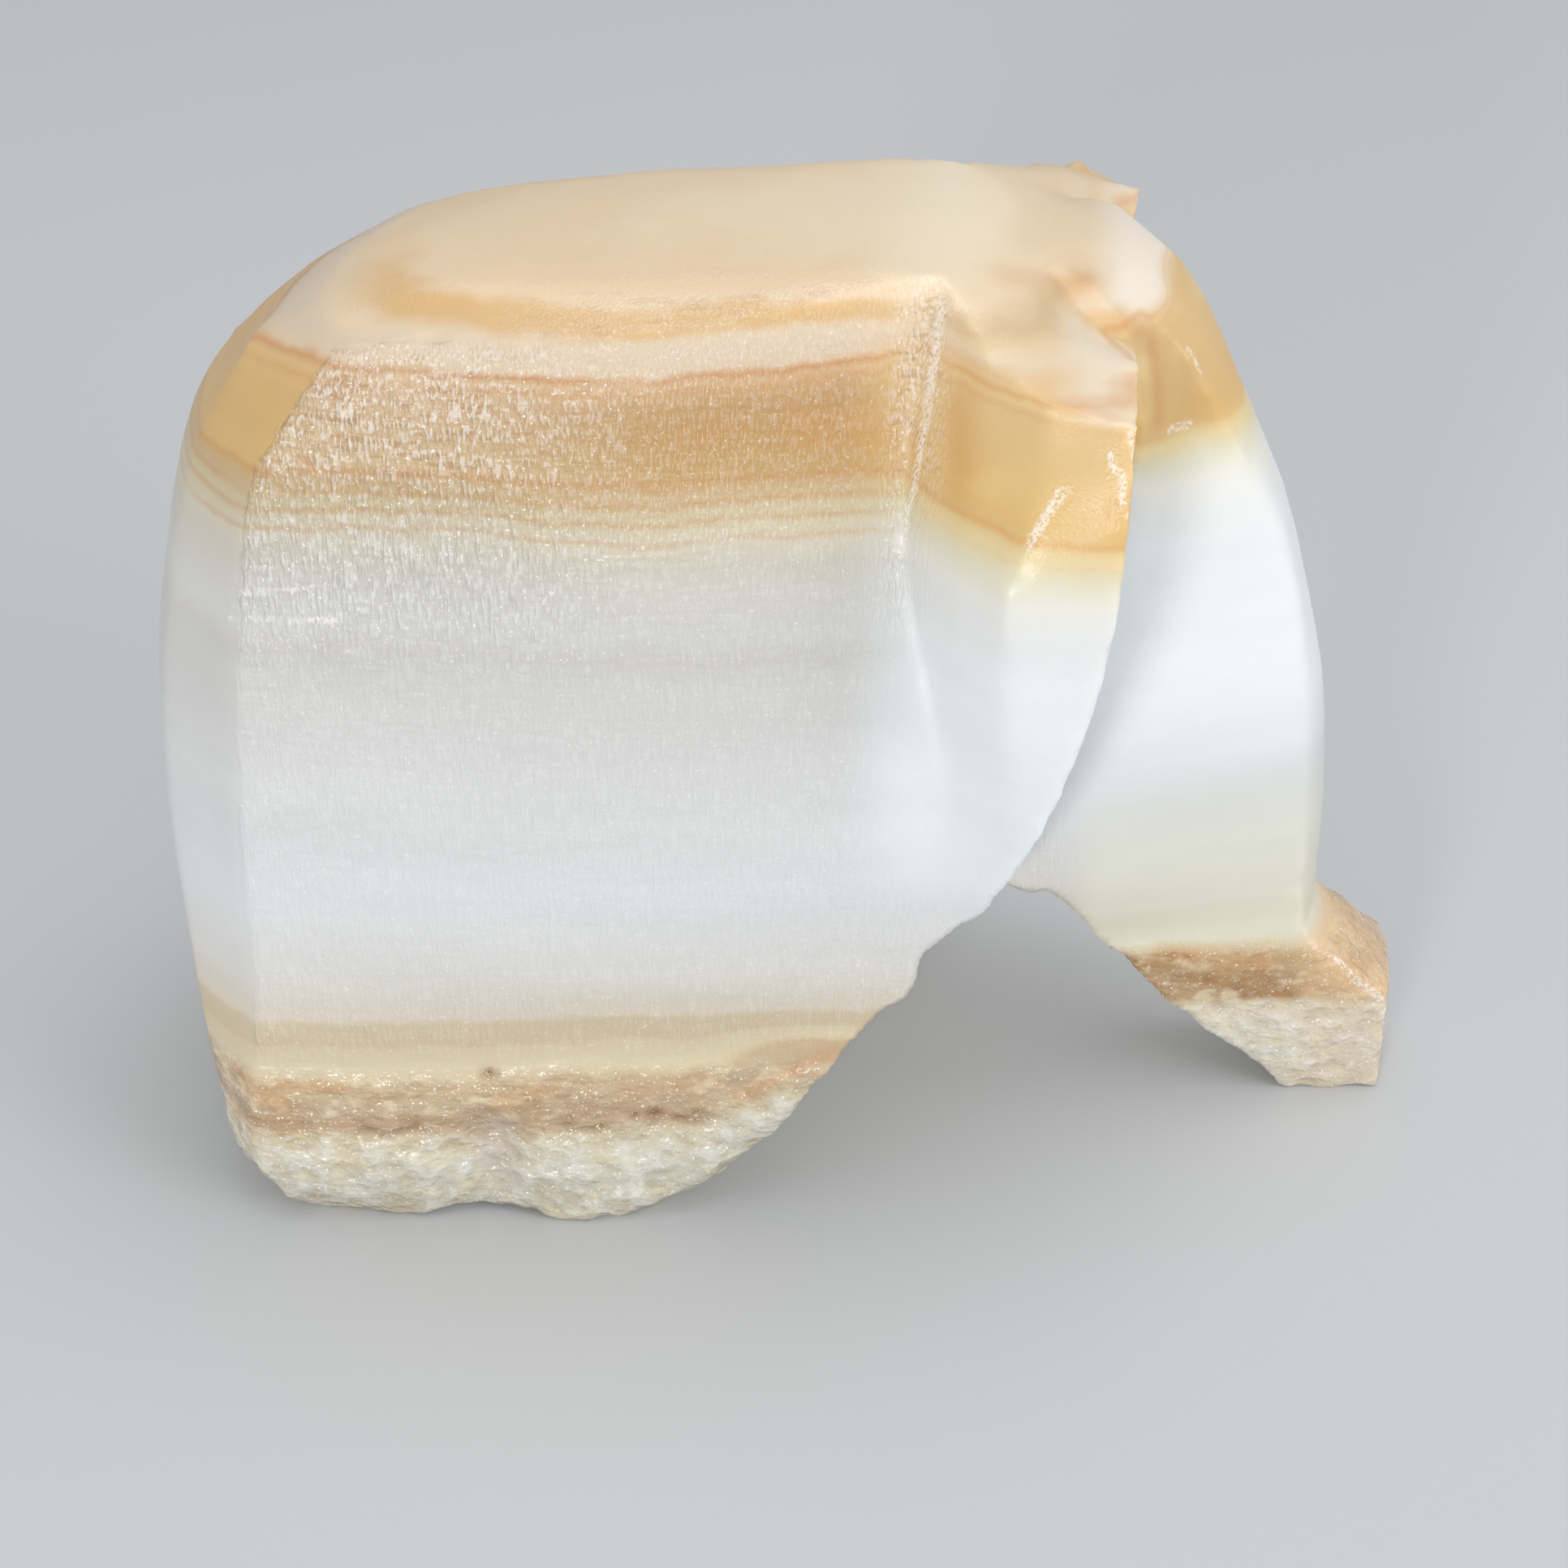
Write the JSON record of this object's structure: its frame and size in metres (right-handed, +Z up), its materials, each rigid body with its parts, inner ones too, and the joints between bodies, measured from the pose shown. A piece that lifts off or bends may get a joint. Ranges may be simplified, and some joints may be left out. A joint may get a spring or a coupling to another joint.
{
  "type": "elephant carving",
  "caption": "Small standing elephant carved from one piece of banded onyx, with plate-like ears and a thin trunk that kicks out at its tip.",
  "frame": {"origin": "under the middle of the carving's box, on the plane its feet and trunk tip stand on", "axes": "+Z up, +X from the rump towards the trunk, +Y towards the elephant's left side"},
  "size_m": [0.0521, 0.0272, 0.0404],
  "materials": {
    "banded_onyx": "satin, ground and waxed, with level pale, honey and white layers"
  },
  "bodies": {
    "root": {"elephant": "banded_onyx"}
  },
  "joints": []
}
